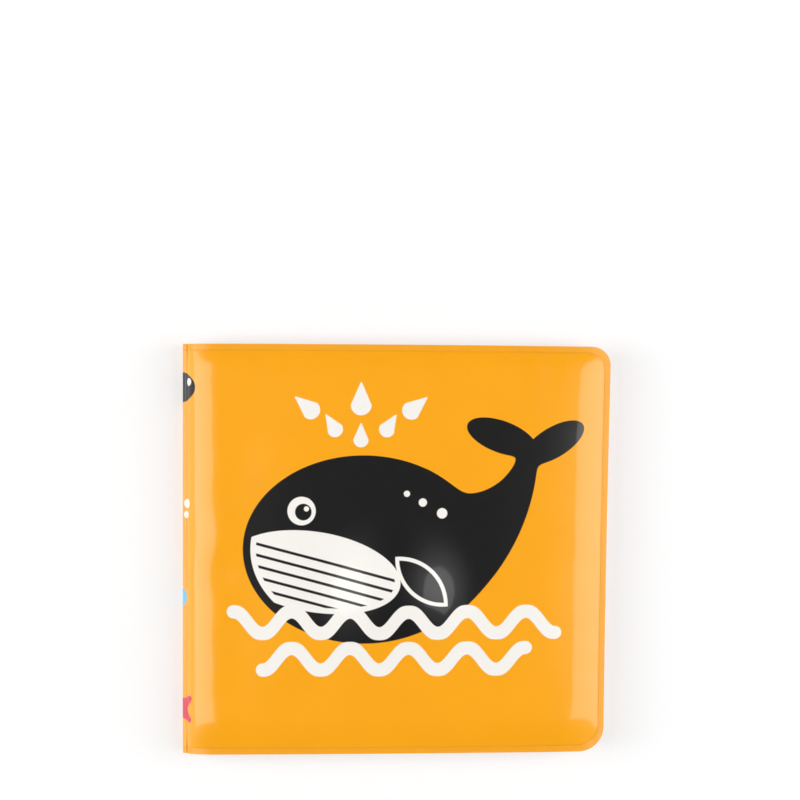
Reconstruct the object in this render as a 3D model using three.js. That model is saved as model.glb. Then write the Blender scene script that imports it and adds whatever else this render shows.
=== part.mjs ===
// A soft bath book: four padded leaves of welded film turn about one spine, and the front cover holds a squeaker.
// Millimetres, Z up. The closed book lies on its back cover, with its spine at -X and its free edge at +X.
// The origin is the middle of its footprint, on the surface that it lies on.

import * as THREE from "three";

// The closed book
const bookWidth = 123;
const bookHeight = 118;

// Leaves: two films over a foam sheet
const leafThickness = 2.7;
const leafGap = 0.3;
const filmThickness = 0.25;
const weldFilmGap = 0.2;
const foamClearance = 0.2;

// Outline of a leaf: a flat welded rim round three sides, then the shoulder of the padding
const weldWidth = 1.8;
const shoulderWidth = 5.2;
const upperCornerRadius = 5.5;
const lowerCornerRadius = 7;
const fieldCornerRadius = 1.2;
const sideDrawIn = 0.7;
const foamEdgeInset = 3.9;

// Free edges of the leaves, short of the book's full width
const frontCoverTrim = 1.6;
const secondLeafTrim = 0;
const thirdLeafTrim = 0.9;
const backCoverTrim = 0.4;

// Spine: every film ends on a welded bead, and the leaves fan out from it to their places in the stack
const spineWeldRadius = 1;
const spineClearance = 0.3;
const gutterWidth = 10;
const foamSpineInset = 1.5;
const rootRiseShare = 0.75;
const rootRunShare = 0.62;

// Squeaker: a flat bellows in the front cover, under a low dome of the cover film
const squeakerAcross = 0;
const squeakerAlong = -12;
const coverDomeRadius = 25;
const coverDomeHeight = 2.8;
const cupRadius = 12;
const cupHeight = 2.7;
const cupWall = 0.8;
const cupFloor = 0.5;
const cupFloorClearance = 0.2;
const foamPocketClearance = 0.5;
const domeWall = 0.5;
const domeSkirt = 0.5;
const domeClearance = 0.25;
const domeSideClearance = 0.3;

// Reed: a strip across a flanged tube in the floor of the cup
const reedBoreRadius = 1.9;
const reedTubeWall = 1.1;
const reedFlangeWidth = 1;
const reedFlangeThickness = 0.5;
const reedHoleClearance = 0.3;
const reedLength = 4.6;
const reedWidth = 1.4;
const reedThickness = 0.15;
const reedClampHeight = 0.5;

// Fineness of the curves
const rootSteps = 8;
const sideSteps = 5;
const cornerSteps = 6;
const roundSteps = 32;
const domeRingShares = [1, 0.86, 0.7, 0.54, 0.38, 0.2];
const shoulderShares = [0.14, 0.34, 0.62, 1];

const leafPitch = leafThickness + leafGap;
const leafCount = 4;
const stackHeight = leafCount * leafPitch - leafGap;
const halfSide = bookHeight / 2;
const fieldInset = weldWidth + shoulderWidth;
const weldHalf = weldFilmGap / 2 + filmThickness;
const rootRadius = spineWeldRadius + spineClearance;
const rootArc = Math.PI * rootRadius;
const rootThickness = (rootArc - (leafCount - 1) * leafGap) / leafCount;
const squeakerFromSpine = bookWidth / 2 - spineWeldRadius + squeakerAcross;

const filmLook = (color) => new THREE.MeshStandardMaterial({ color, roughness: 0.25, metalness: 0 });
const foamLook = () => new THREE.MeshStandardMaterial({ color: 0xf2efe4, roughness: 0.95, metalness: 0 });
const plasticLook = (color) => new THREE.MeshStandardMaterial({ color, roughness: 0.45, metalness: 0 });

const leaves = [
  {
    name: "back_cover",
    trim: backCoverTrim,
    lower: { name: "outer_film", color: 0xf9a525 },
    upper: { name: "inner_film", color: 0xf6f3ea },
  },
  {
    name: "third_leaf",
    trim: thirdLeafTrim,
    lower: { name: "lower_film", color: 0x8fd3ee },
    upper: { name: "upper_film", color: 0xf6f3ea },
  },
  {
    name: "second_leaf",
    trim: secondLeafTrim,
    lower: { name: "lower_film", color: 0xf59ab5 },
    upper: { name: "upper_film", color: 0x8fd3ee },
  },
  {
    name: "front_cover",
    trim: frontCoverTrim,
    lower: { name: "inner_film", color: 0xf6f3ea },
    upper: { name: "outer_film", color: 0xfdac28 },
  },
];

// The middle of a leaf near the spine, from the weld bead to its level in the stack
function rootCurve(index) {
  const angle = (index * (rootThickness + leafGap) + rootThickness / 2) / rootRadius - Math.PI / 2;
  const start = new THREE.Vector2(Math.cos(angle), Math.sin(angle)).multiplyScalar(rootRadius);
  const end = new THREE.Vector2(gutterWidth, leafLevel(index));
  const rise = Math.abs(end.y - start.y) * rootRiseShare;
  const run = (end.x - start.x) * rootRunShare;
  const startHandle = start.clone().multiplyScalar(1 + rise / rootRadius);
  const endHandle = end.clone().sub(new THREE.Vector2(run, 0));
  return new THREE.CubicBezierCurve(start, startHandle, endHandle, end);
}

function leafLevel(index) {
  return (index - (leafCount - 1) / 2) * leafPitch;
}

function smoothStep(share) {
  const x = THREE.MathUtils.clamp(share, 0, 1);
  return x * x * (3 - 2 * x);
}

function rootShare(across) {
  return THREE.MathUtils.clamp((across - rootRadius) / (gutterWidth - rootRadius), 0, 1);
}

// Half of a leaf's thickness, from its welded rim over the shoulder to the field
function halfThickness(across, inset) {
  const full = THREE.MathUtils.lerp(rootThickness / 2, leafThickness / 2, smoothStep(rootShare(across)));
  const climb = THREE.MathUtils.clamp((inset - weldWidth) / shoulderWidth, 0, 1);
  return weldHalf + (full - weldHalf) * (1 - (1 - climb) ** 2);
}

function domeRise(across, along) {
  const reach = Math.hypot(across - squeakerFromSpine, along - squeakerAlong) / coverDomeRadius;
  return coverDomeHeight * (0.5 + 0.5 * Math.cos(Math.PI * Math.min(reach, 1)));
}

// Places a point of the flat pattern at a height over the middle of its leaf
function leafPlace(index) {
  const curve = rootCurve(index);
  const level = leafLevel(index);
  return (point, height) => {
    if (point.across >= gutterWidth) {
      return [point.across, point.along, level + height];
    }
    const share = rootShare(point.across);
    const middle = curve.getPoint(share);
    const heading = curve.getTangent(share);
    return [middle.x - heading.y * height, point.along, middle.y + heading.x * height];
  };
}

// One row of the pattern runs from the spine along the lower side, round the free edge and back
function patternRow(edge, stations, inset) {
  const depth = inset / fieldInset;
  const lowerRadius = THREE.MathUtils.lerp(lowerCornerRadius, fieldCornerRadius, depth);
  const upperRadius = THREE.MathUtils.lerp(upperCornerRadius, fieldCornerRadius, depth);
  const side = halfSide - inset;
  const end = edge - inset;
  const first = stations[stations.length - 1];
  const row = stations.map((across) => [across, -side]);
  for (let step = 1; step < sideSteps; step += 1) {
    row.push([THREE.MathUtils.lerp(first, end - lowerRadius, step / sideSteps), -side]);
  }
  for (let step = 0; step <= cornerSteps; step += 1) {
    const turn = (step / cornerSteps - 1) * (Math.PI / 2);
    row.push([
      end - lowerRadius + lowerRadius * Math.cos(turn),
      -side + lowerRadius + lowerRadius * Math.sin(turn),
    ]);
  }
  for (let step = 1; step < sideSteps; step += 1) {
    row.push([end, THREE.MathUtils.lerp(-side + lowerRadius, side - upperRadius, step / sideSteps)]);
  }
  for (let step = 0; step <= cornerSteps; step += 1) {
    const turn = (step / cornerSteps) * (Math.PI / 2);
    row.push([end - upperRadius + upperRadius * Math.cos(turn), side - upperRadius + upperRadius * Math.sin(turn)]);
  }
  for (let step = sideSteps - 1; step > 0; step -= 1) {
    row.push([THREE.MathUtils.lerp(first, end - upperRadius, step / sideSteps), side]);
  }
  row.push(...stations.map((across) => [across, side]).reverse());
  return row.map(([across, along]) => drawnIn(across, along, inset, edge));
}

// The padding draws the middle of each free side in a little, and leaves the corners where they are
function drawnIn(across, along, inset, edge) {
  const pull = sideDrawIn * (1 - inset / fieldInset);
  const run = THREE.MathUtils.clamp((across - gutterWidth) / (edge - lowerCornerRadius - gutterWidth), 0, 1);
  const reach = THREE.MathUtils.clamp(along / (halfSide - lowerCornerRadius), -1, 1);
  return {
    across: across - pull * run * (1 - reach * reach),
    along: along - pull * reach * 4 * run * (1 - run),
    inset,
  };
}

// The flat pattern of a film or pad: rows in towards its field, and the field, with rings round the squeaker
function leafPattern({ edge, stations, insets, ringRadii = [], open = false }) {
  const points = [];
  const triangles = [];
  const rows = insets.map((inset) => {
    const row = patternRow(edge, stations, inset);
    return row.map((point) => points.push(point) - 1);
  });
  const strip = (outer, inner, closed) => {
    const steps = closed ? outer.length : outer.length - 1;
    for (let step = 0; step < steps; step += 1) {
      const next = (step + 1) % outer.length;
      triangles.push([outer[step], outer[next], inner[next]]);
      triangles.push([outer[step], inner[next], inner[step]]);
    }
  };
  for (let row = 1; row < rows.length; row += 1) {
    strip(rows[row - 1], rows[row], false);
  }
  const last = rows[rows.length - 1];
  const rootCount = stations.length;
  strip(last.slice(0, rootCount), last.slice(-rootCount).reverse(), false);
  const rings = ringRadii.map((radius) =>
    Array.from({ length: roundSteps }, (_, step) => {
      const turn = (step / roundSteps) * 2 * Math.PI;
      const point = {
        across: squeakerFromSpine + radius * Math.cos(turn),
        along: squeakerAlong + radius * Math.sin(turn),
        inset: fieldInset,
      };
      return points.push(point) - 1;
    }),
  );
  triangulateField(points, triangles, last.slice(rootCount - 1, last.length - rootCount + 1), rings[0]);
  for (let ring = 1; ring < rings.length; ring += 1) {
    strip(rings[ring - 1], rings[ring], true);
  }
  if (rings.length && !open) {
    const inner = rings[rings.length - 1];
    const middle = points.push({ across: squeakerFromSpine, along: squeakerAlong, inset: fieldInset }) - 1;
    inner.forEach((point, step) => triangles.push([point, inner[(step + 1) % inner.length], middle]));
  }
  return { points, triangles };
}

function triangulateField(points, triangles, border, ring) {
  const corners = [...border, ...(ring ?? [])];
  const flat = (list) => list.map((index) => new THREE.Vector2(points[index].across, points[index].along));
  const faces = THREE.ShapeUtils.triangulateShape(flat(border), ring ? [flat(ring)] : []);
  for (const face of faces) {
    const [a, b, c] = face.map((corner) => corners[corner]);
    const [p, q, r] = flat([a, b, c]);
    const turnsLeft = q.clone().sub(p).cross(r.clone().sub(p)) > 0;
    triangles.push(turnsLeft ? [a, b, c] : [a, c, b]);
  }
}

// A closed solid over a pattern: a skin on each side, and walls along the pattern's edges
function sheetSolid(pattern, placeUpper, placeLower) {
  const count = pattern.points.length;
  const vertices = [...pattern.points.map(placeUpper), ...pattern.points.map(placeLower)];
  const indices = [];
  const edges = new Set();
  for (const [a, b, c] of pattern.triangles) {
    indices.push(a, b, c, count + c, count + b, count + a);
    edges.add(`${a},${b}`).add(`${b},${c}`).add(`${c},${a}`);
  }
  for (const edge of edges) {
    const [from, to] = edge.split(",").map(Number);
    if (!edges.has(`${to},${from}`)) {
      indices.push(count + from, count + to, to, count + from, to, from);
    }
  }
  const geometry = new THREE.BufferGeometry();
  geometry.setAttribute("position", new THREE.Float32BufferAttribute(vertices.flat(), 3));
  geometry.setIndex(indices);
  geometry.computeVertexNormals();
  return geometry;
}

function namedMesh(name, geometry, material) {
  const mesh = new THREE.Mesh(geometry, material);
  mesh.name = name;
  return mesh;
}

// A film of one leaf: side is 1 for the upper film and -1 for the lower one
function leafFilm(index, side, domed) {
  const edge = bookWidth - spineWeldRadius - leaves[index].trim;
  const stations = Array.from({ length: rootSteps + 1 }, (_, step) =>
    THREE.MathUtils.lerp(rootRadius, gutterWidth, step / rootSteps),
  );
  const shoulderInsets = shoulderShares.map((share) => weldWidth + share * shoulderWidth);
  const ringRadii = domed ? domeRingShares.map((share) => share * coverDomeRadius) : [];
  const pattern = leafPattern({ edge, stations, insets: [0, weldWidth, ...shoulderInsets], ringRadii });
  const place = leafPlace(index);
  const lift = (point) => (domed ? domeRise(point.across, point.along) : 0);
  const outer = (point) => place(point, side * (halfThickness(point.across, point.inset) + lift(point)));
  const inner = (point) =>
    place(point, side * (halfThickness(point.across, point.inset) + lift(point) - filmThickness));
  return side > 0 ? sheetSolid(pattern, outer, inner) : sheetSolid(pattern, inner, outer);
}

// The foam fills its leaf from behind the weld to the spine, and rises round the squeaker's pocket
function foamPad(index, pocketed) {
  const edge = bookWidth - spineWeldRadius - leaves[index].trim;
  const pocketRadius = cupRadius + foamPocketClearance;
  const insets = [foamEdgeInset, (foamEdgeInset + fieldInset) / 2, fieldInset];
  const ringRadii = pocketed ? [coverDomeRadius, (coverDomeRadius + pocketRadius) / 2, pocketRadius] : [];
  const pattern = leafPattern({ edge, stations: [gutterWidth + foamSpineInset], insets, ringRadii, open: true });
  const place = leafPlace(index);
  const half = (point) => halfThickness(point.across, point.inset) - filmThickness - foamClearance;
  const lift = (point) => (pocketed ? domeRise(point.across, point.along) : 0);
  return sheetSolid(
    pattern,
    (point) => place(point, half(point) + lift(point)),
    (point) => place(point, -half(point)),
  );
}

function revolved(profile) {
  const points = profile.map(([radius, height]) => new THREE.Vector2(radius, height));
  const geometry = new THREE.LatheGeometry([...points, points[0]], roundSteps);
  geometry.rotateX(Math.PI / 2);
  return geometry;
}

// The squeaker stands on the inner film of the front cover
function squeaker() {
  const group = new THREE.Group();
  const floorTop = cupFloor;
  const tubeRadius = reedBoreRadius + reedTubeWall;
  const holeRadius = tubeRadius + reedHoleClearance;
  const flangeRadius = holeRadius + reedFlangeWidth;
  const cup = revolved([
    [holeRadius, 0],
    [cupRadius, 0],
    [cupRadius, cupHeight],
    [cupRadius - cupWall, cupHeight],
    [cupRadius - cupWall, floorTop],
    [holeRadius, floorTop],
  ]);
  group.add(namedMesh("squeaker_cup", cup, plasticLook(0xffffff)));
  group.add(namedMesh("squeaker_dome", squeakerDome(), plasticLook(0xf4f4f4)));

  const holderTop = floorTop + reedFlangeThickness;
  const holder = revolved([
    [reedBoreRadius, 0],
    [tubeRadius, 0],
    [tubeRadius, floorTop],
    [flangeRadius, floorTop],
    [flangeRadius, holderTop],
    [reedBoreRadius, holderTop],
  ]);
  group.add(namedMesh("squeaker_reed_holder", holder, plasticLook(0xe8e8e8)));

  const reed = namedMesh(
    "squeaker_reed",
    new THREE.BoxGeometry(reedLength, reedWidth, reedThickness),
    plasticLook(0xd9d2c0),
  );
  reed.position.z = holderTop + reedThickness / 2;
  group.add(reed);

  const clampFoot = holderTop + reedThickness;
  const clamp = revolved([
    [reedBoreRadius, clampFoot],
    [tubeRadius, clampFoot],
    [tubeRadius, clampFoot + reedClampHeight],
    [reedBoreRadius, clampFoot + reedClampHeight],
  ]);
  group.add(namedMesh("squeaker_reed_clamp", clamp, plasticLook(0xe8e8e8)));

  group.position.set(squeakerFromSpine, squeakerAlong, squeakerFoot());
  return group;
}

function squeakerFoot() {
  return leafLevel(leafCount - 1) - leafThickness / 2 + filmThickness + cupFloorClearance;
}

// The dome follows the cover film above it, and its skirt slides inside the wall of the cup
function squeakerDome() {
  const radius = cupRadius - cupWall - domeSideClearance;
  const filmInside = leafLevel(leafCount - 1) + leafThickness / 2 - filmThickness - squeakerFoot();
  const crown = (share) => {
    const height = domeRise(squeakerFromSpine + share * radius, squeakerAlong);
    return filmInside + height - domeClearance;
  };
  const skirtFoot = crown(1) - domeWall - domeSkirt;
  const shares = [0, 0.25, 0.5, 0.75, 1];
  const wallShare = (radius - domeWall) / radius;
  const profile = [
    ...shares.map((share) => [share * wallShare * radius, crown(share * wallShare) - domeWall]),
    [radius - domeWall, skirtFoot],
    [radius, skirtFoot],
    ...shares.map((share) => [share * radius, crown(share)]).reverse(),
  ];
  const points = profile.map(([across, height]) => new THREE.Vector2(across, height));
  const geometry = new THREE.LatheGeometry(points, roundSteps);
  geometry.rotateX(Math.PI / 2);
  return geometry;
}

// The book turns about its spine, so its parts are placed from the hinge line
const book = new THREE.Group();
book.position.set(spineWeldRadius - bookWidth / 2, 0, stackHeight / 2);

leaves.forEach((leaf, index) => {
  const holdsSqueaker = index === leafCount - 1;
  const lower = leafFilm(index, -1, false);
  book.add(namedMesh(`${leaf.name}_${leaf.lower.name}`, lower, filmLook(leaf.lower.color)));
  book.add(namedMesh(`${leaf.name}_foam_pad`, foamPad(index, holdsSqueaker), foamLook()));
  const upper = leafFilm(index, 1, holdsSqueaker);
  book.add(namedMesh(`${leaf.name}_${leaf.upper.name}`, upper, filmLook(leaf.upper.color)));
});

const spineWeld = new THREE.CylinderGeometry(spineWeldRadius, spineWeldRadius, bookHeight, roundSteps / 2);
book.add(namedMesh("spine_weld", spineWeld, filmLook(0xf9a525)));
book.add(squeaker());

const part = new THREE.Group();
part.add(book);

export default part;
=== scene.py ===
import math

import bpy
import numpy as np
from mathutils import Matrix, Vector


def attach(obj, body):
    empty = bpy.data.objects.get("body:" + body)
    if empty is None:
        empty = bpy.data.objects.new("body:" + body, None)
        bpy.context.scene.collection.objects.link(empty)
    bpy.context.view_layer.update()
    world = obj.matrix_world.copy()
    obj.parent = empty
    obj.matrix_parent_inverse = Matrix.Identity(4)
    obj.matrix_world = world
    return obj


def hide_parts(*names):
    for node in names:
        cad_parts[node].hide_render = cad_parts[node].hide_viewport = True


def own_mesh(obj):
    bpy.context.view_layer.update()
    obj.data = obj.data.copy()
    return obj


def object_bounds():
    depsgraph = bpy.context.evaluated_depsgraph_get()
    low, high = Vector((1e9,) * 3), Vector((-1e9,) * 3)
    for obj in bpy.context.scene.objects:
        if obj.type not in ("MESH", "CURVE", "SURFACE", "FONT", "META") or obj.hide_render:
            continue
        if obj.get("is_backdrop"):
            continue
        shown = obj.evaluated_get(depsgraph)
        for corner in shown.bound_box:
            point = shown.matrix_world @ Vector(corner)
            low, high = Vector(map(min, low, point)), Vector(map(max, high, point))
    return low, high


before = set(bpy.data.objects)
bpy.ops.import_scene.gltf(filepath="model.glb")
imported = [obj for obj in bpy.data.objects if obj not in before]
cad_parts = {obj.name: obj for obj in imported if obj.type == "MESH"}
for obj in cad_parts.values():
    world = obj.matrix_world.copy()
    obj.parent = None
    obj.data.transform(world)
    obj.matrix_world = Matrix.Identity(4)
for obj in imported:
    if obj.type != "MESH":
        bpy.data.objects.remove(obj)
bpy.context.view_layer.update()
mm = 0.001

# The closed book, in millimetres. Distances across a leaf are counted from the hinge line in its spine
book = {
    "height": 118,
    "hingeX": -60.5,
    "hingeZ": 5.85,
    "pitch": 3,
    "leafThickness": 2.7,
    "filmThickness": 0.25,
    "weldHalf": 0.27,
    "weldWidth": 1.8,
    "shoulderWidth": 8,
    "upperCorner": 5.5,
    "lowerCorner": 7,
    "fieldCorner": 1.2,
    "sideDrawIn": 0.2,
    "endDrawIn": 0.1,
    "beadRadius": 1,
    "wrapGap": 0.27,
    "rootRadius": 1.3,
    "rootThickness": 0.796,
    "rootGap": 0.3,
    "gutter": 10,
    "rise": 0.75,
    "run": 0.62,
    "squeaker": (60.5, -12),
    "domeRadius": 25,
    "domeHeight": 2.8,
    "domeTravel": 1.6,
}
bodies = ["back_cover", "third_leaf", "second_leaf", "front_cover"]
edges = [121.5, 120.9, 121.7, 122.2]  # how far each leaf reaches, in the order of the bodies
front = len(bodies) - 1
halfSide = book["height"] / 2
fieldInset = book["weldWidth"] + book["shoulderWidth"]


def setMode(mode):
    bpy.ops.object.mode_set(mode=mode)


def deselectAll():
    if bpy.context.object and bpy.context.object.mode != "OBJECT":
        setMode("OBJECT")
    bpy.ops.object.select_all(action="DESELECT")


def makeActive(piece):
    deselectAll()
    piece.select_set(True)
    bpy.context.view_layer.objects.active = piece


def readPoints(piece):
    points = np.zeros(len(piece.data.vertices) * 3)
    piece.data.vertices.foreach_get("co", points)
    return points.reshape(-1, 3)


def writePoints(piece, points):
    piece.data.vertices.foreach_set("co", points.astype(np.float32).ravel())
    piece.data.update()


def selectParts(piece, kind, wanted):
    # leaves edit mode on, with those edges or faces selected that wanted() picks
    makeActive(piece)
    setMode("EDIT")
    bpy.ops.mesh.select_mode(type=kind)
    bpy.ops.mesh.select_all(action="DESELECT")
    setMode("OBJECT")
    for part in piece.data.edges if kind == "EDGE" else piece.data.polygons:
        part.select = bool(wanted(part))
    setMode("EDIT")


def selectEdges(piece, wanted):
    # wanted() is asked with the places of an edge's two ends
    points = piece.data.vertices
    selectParts(piece, "EDGE", lambda edge: wanted([points[v].co for v in edge.vertices]))


def selectRound(piece, radius):
    # picks the faces round the middle of the squeaker
    x, y = squeakerPlace()
    selectParts(piece, "FACE", lambda face: math.hypot(face.center.x - x, face.center.y - y) < radius * mm)


def squeakerPlace():
    across, along = book["squeaker"]
    return (across + book["hingeX"]) * mm, along * mm


def applyModifier(piece, kind, **settings):
    makeActive(piece)
    modifier = piece.modifiers.new(kind.lower(), kind)
    for name, value in settings.items():
        setattr(modifier, name, value)
    bpy.ops.object.modifier_apply(modifier=modifier.name)


def dress(piece, *materials):
    piece.data.materials.clear()
    for material in materials:
        piece.data.materials.append(material)


def smoothShade(piece, degrees):
    makeActive(piece)
    bpy.ops.object.shade_smooth_by_angle(angle=math.radians(degrees))


# Shader maths

class Wire:
    # One output of a shader node. Arithmetic on it adds Math nodes
    def __init__(self, tree, socket):
        self.tree = tree
        self.socket = socket

    def maths(self, operation, *values, clamp=False):
        settings = {"operation": operation, "use_clamp": clamp}
        return addNode(self.tree, "ShaderNodeMath", settings, dict(enumerate(values)))

    def __add__(self, other):
        return self.maths("ADD", self, other)

    def __radd__(self, other):
        return self.maths("ADD", other, self)

    def __sub__(self, other):
        return self.maths("SUBTRACT", self, other)

    def __rsub__(self, other):
        return self.maths("SUBTRACT", other, self)

    def __mul__(self, other):
        return self.maths("MULTIPLY", self, other)

    def __rmul__(self, other):
        return self.maths("MULTIPLY", other, self)

    def __truediv__(self, other):
        return self.maths("DIVIDE", self, other)

    def __rtruediv__(self, other):
        return self.maths("DIVIDE", other, self)

    def __neg__(self):
        return self.maths("MULTIPLY", self, -1)

    def least(self, other):
        return self.maths("MINIMUM", self, other)

    def most(self, other):
        return self.maths("MAXIMUM", self, other)

    def joined(self, other, softness):
        return self.maths("SMOOTH_MIN", self, other, softness)

    def size(self):
        return self.maths("ABSOLUTE", self)

    def root(self):
        return self.maths("SQRT", self)

    def sine(self):
        return self.maths("SINE", self)

    def angleWith(self, other):
        return self.maths("ARCTAN2", self, other)

    def within(self):
        return self.maths("ADD", self, 0, clamp=True)

    def wrapped(self, low, high):
        return self.maths("WRAP", self, high, low)


def addNode(tree, kind, settings=None, sockets=None, output=0):
    node = tree.nodes.new(kind)
    for name, value in (settings or {}).items():
        if name == "stops":
            while len(node.color_ramp.elements) < len(value):
                node.color_ramp.elements.new(0.5)
            for element, (place, colour) in zip(node.color_ramp.elements, value):
                element.position = place
                element.color = colour
        else:
            setattr(node, name, value)
    for name, value in (sockets or {}).items():
        target = node.inputs[name]
        if isinstance(value, Wire):
            tree.links.new(value.socket, target)
        else:
            target.default_value = value
    return Wire(tree, node.outputs[output]) if len(node.outputs) else node


def splitVector(tree, vector):
    parts = addNode(tree, "ShaderNodeSeparateXYZ", None, {0: vector}).socket.node.outputs
    return [Wire(tree, part) for part in parts]


def linear(red, green, blue):
    def one(value):
        value /= 255
        return value / 12.92 if value <= 0.04045 else ((value + 0.055) / 1.055) ** 2.4
    return (one(red), one(green), one(blue), 1)


def mixColours(factor, first, second, blend="MIX"):
    tree = next(x.tree for x in (factor, first, second) if isinstance(x, Wire))
    settings = {"data_type": "RGBA", "blend_type": blend, "clamp_factor": True}
    return addNode(tree, "ShaderNodeMix", settings, {0: factor, 6: first, 7: second}, 2)


def noise(tree, place, scale, detail=2):
    return addNode(tree, "ShaderNodeTexNoise", None, {"Vector": place, "Scale": scale, "Detail": detail})


def bump(tree, height, strength, depth):
    sockets = {"Strength": strength, "Distance": depth * mm, "Height": height}
    return addNode(tree, "ShaderNodeBump", None, sockets)


def newMaterial(name):
    material = bpy.data.materials.new(name)
    material.use_nodes = True
    material.node_tree.nodes.clear()
    return material, material.node_tree


def principled(tree, sockets):
    shader = addNode(tree, "ShaderNodeBsdfPrincipled", None, sockets)
    addNode(tree, "ShaderNodeOutputMaterial", None, {"Surface": shader})


# Shapes of the prints, as distances in millimetres from a shape's edge

def disc(x, y, cx, cy, radius):
    across, up = x - cx, y - cy
    return (across * across + up * up).root() - radius


def oval(x, y, cx, cy, rx, ry, turn=0):
    c, s = math.cos(math.radians(turn)), math.sin(math.radians(turn))
    across, up = x - cx, y - cy
    if turn:
        across, up = across * c + up * s, up * c - across * s
    a, b = across / rx, up / ry
    p, q = a / rx, b / ry
    reach = (a * a + b * b).root()
    return reach * (reach - 1) / ((p * p + q * q).root() + 0.0001)


def stroke(x, y, start, end, startRadius, endRadius):
    dx, dy = end[0] - start[0], end[1] - start[1]
    span = dx * dx + dy * dy
    across, up = x - start[0], y - start[1]
    share = ((across * dx + up * dy) / span).within()
    a, b = across - share * dx, up - share * dy
    return (a * a + b * b).root() - startRadius - share * (endRadius - startRadius)


def slab(x, y, cx, cy, halfWidth, halfHeight, rounding):
    a = ((x - cx).size() - (halfWidth - rounding)).most(0)
    b = ((y - cy).size() - (halfHeight - rounding)).most(0)
    return (a * a + b * b).root() - rounding


def scalloped(x, y, cx, cy, radius, points, depth):
    across, up = x - cx, y - cy
    lobes = (up.angleWith(across) * points + math.pi / 2).sine()
    return (across * across + up * up).root() - radius * (1 - depth) - lobes * (radius * depth)


def wave(x, y, level, halfTurns, length, height, halfWidth, start=0):
    # a crest line of even width, whose round ends lie where it runs level
    pace = 2 * math.pi / length
    reach = length * (halfTurns / 2 + 0.25)
    crest = (x * pace + start).sine()
    slope = (x * pace + start + math.pi / 2).sine() * (height * pace)
    line = (y - level - crest * height).size() / (slope * slope + 1).root() - halfWidth
    line = line.most(x.size() - reach)
    for end in (-reach, reach):
        line = line.least(disc(x, y, end, level + height * math.sin(end * pace + start), halfWidth))
    return line


def union(first, *others):
    for other in others:
        first = first.least(other)
    return first


def allOf(shape, x, y, rows):
    return union(*[shape(x, y, *row) for row in rows])


def ring(distance, width):
    return (distance + width / 2).size() - width / 2


# Motifs, whose values are shares of their size
motifs = {
    "star": (0.86, 0.42, 0.14),
    "drop": (2.1, 0.08),
    "fishHeight": 0.62,
    "tail": (0.75, 1.45, 0.5),
    "tailWidths": (0.1, 0.24),
    "fishEye": (0.55, 0.14, 0.13),
    "marksReach": (0.9, 0.54),
    "bars": (0.25, 0.17, 0.075),
    "band": (0.2, 0.36),
}


def star(x, y, cx, cy, radius, turn=90):
    # five tapering arms, folded into one by the angle
    across, up = x - cx, y - cy
    away = (across * across + up * up).root()
    angle = (up.angleWith(across) - math.radians(turn)).wrapped(-math.pi / 5, math.pi / 5)
    along, aside = away * (angle + math.pi / 2).sine(), away * angle.sine().size()
    reach, root, tip = (radius * share for share in motifs["star"])
    return stroke(along, aside, (0, 0), (reach, 0), root, tip)


def drop(x, y, cx, cy, size, turn):
    # a teardrop whose point looks along turn, in degrees
    c, s = math.cos(math.radians(turn)), math.sin(math.radians(turn))
    reach, tip = motifs["drop"]
    return stroke(x, y, (cx, cy), (cx + c * size * reach, cy + s * size * reach), size, size * tip)


def fish(x, y, cx, cy, size, look):
    # look is 1 for a fish that looks right, and -1 for one that looks left
    body = oval(x, y, cx, cy, size, size * motifs["fishHeight"])
    near, far, apart = motifs["tail"]
    root, end = (cx - look * size * near, cy), cx - look * size * far
    widths = [size * share for share in motifs["tailWidths"]]
    lobes = [stroke(x, y, root, (end, cy + way * size * apart), *widths) for way in (1, -1)]
    return body.least(union(*lobes))


def fishMarks(x, y, cx, cy, size, look):
    ahead, up, radius = motifs["fishEye"]
    eye = disc(x, y, cx + look * size * ahead, cy + size * up, size * radius)
    body = oval(x, y, cx, cy, *(size * share for share in motifs["marksReach"]))
    shift, halfPitch, halfWidth = motifs["bars"]
    bars = (x - cx + look * size * shift).wrapped(-size * halfPitch, size * halfPitch)
    bars = bars.size() - size * halfWidth
    shift, halfWidth = motifs["band"]
    band = (x - cx + look * size * shift).size() - size * halfWidth
    return eye.least(bars.most(body).most(band))


# The prints, with places in millimetres from the middle of a page

inks = {
    "orange": linear(255, 171, 14),
    "black": linear(18, 17, 17),
    "white": linear(250, 246, 240),
    "blue": linear(120, 200, 236),
    "deepBlue": linear(20, 110, 178),
    "pink": linear(240, 128, 160),
    "red": linear(226, 60, 84),
    "green": linear(120, 190, 90),
}
inkBlur = 0.09


def inked(distance):
    return (0.5 - distance / (2 * inkBlur)).within()


def layered(colour, x, y, *layers):
    # a layer is an ink with a shape and its places, or with a distance, and lies on those before it
    for name, shape, *places in layers:
        distance = allOf(shape, x, y, places) if places else shape
        colour = mixColours(inked(distance), colour, inks[name])
    return colour


def spinePrint(colour, x, y):
    # small motifs that run over the spine, with places from the middle of the front cover
    return layered(
        colour, x, y,
        ("black", fish, (-65.2, 46.5, 7.2, 1)),
        ("white", disc, (-60.6, 48, 1.1)),
        ("white", disc, (-61.6, 13, 1.4), (-61.9, 9.8, 1.1)),
        ("blue", disc, (-65.5, -14, 3.4)),
        ("red", star, (-64.4, -46, 6, 106)),
    )


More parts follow.
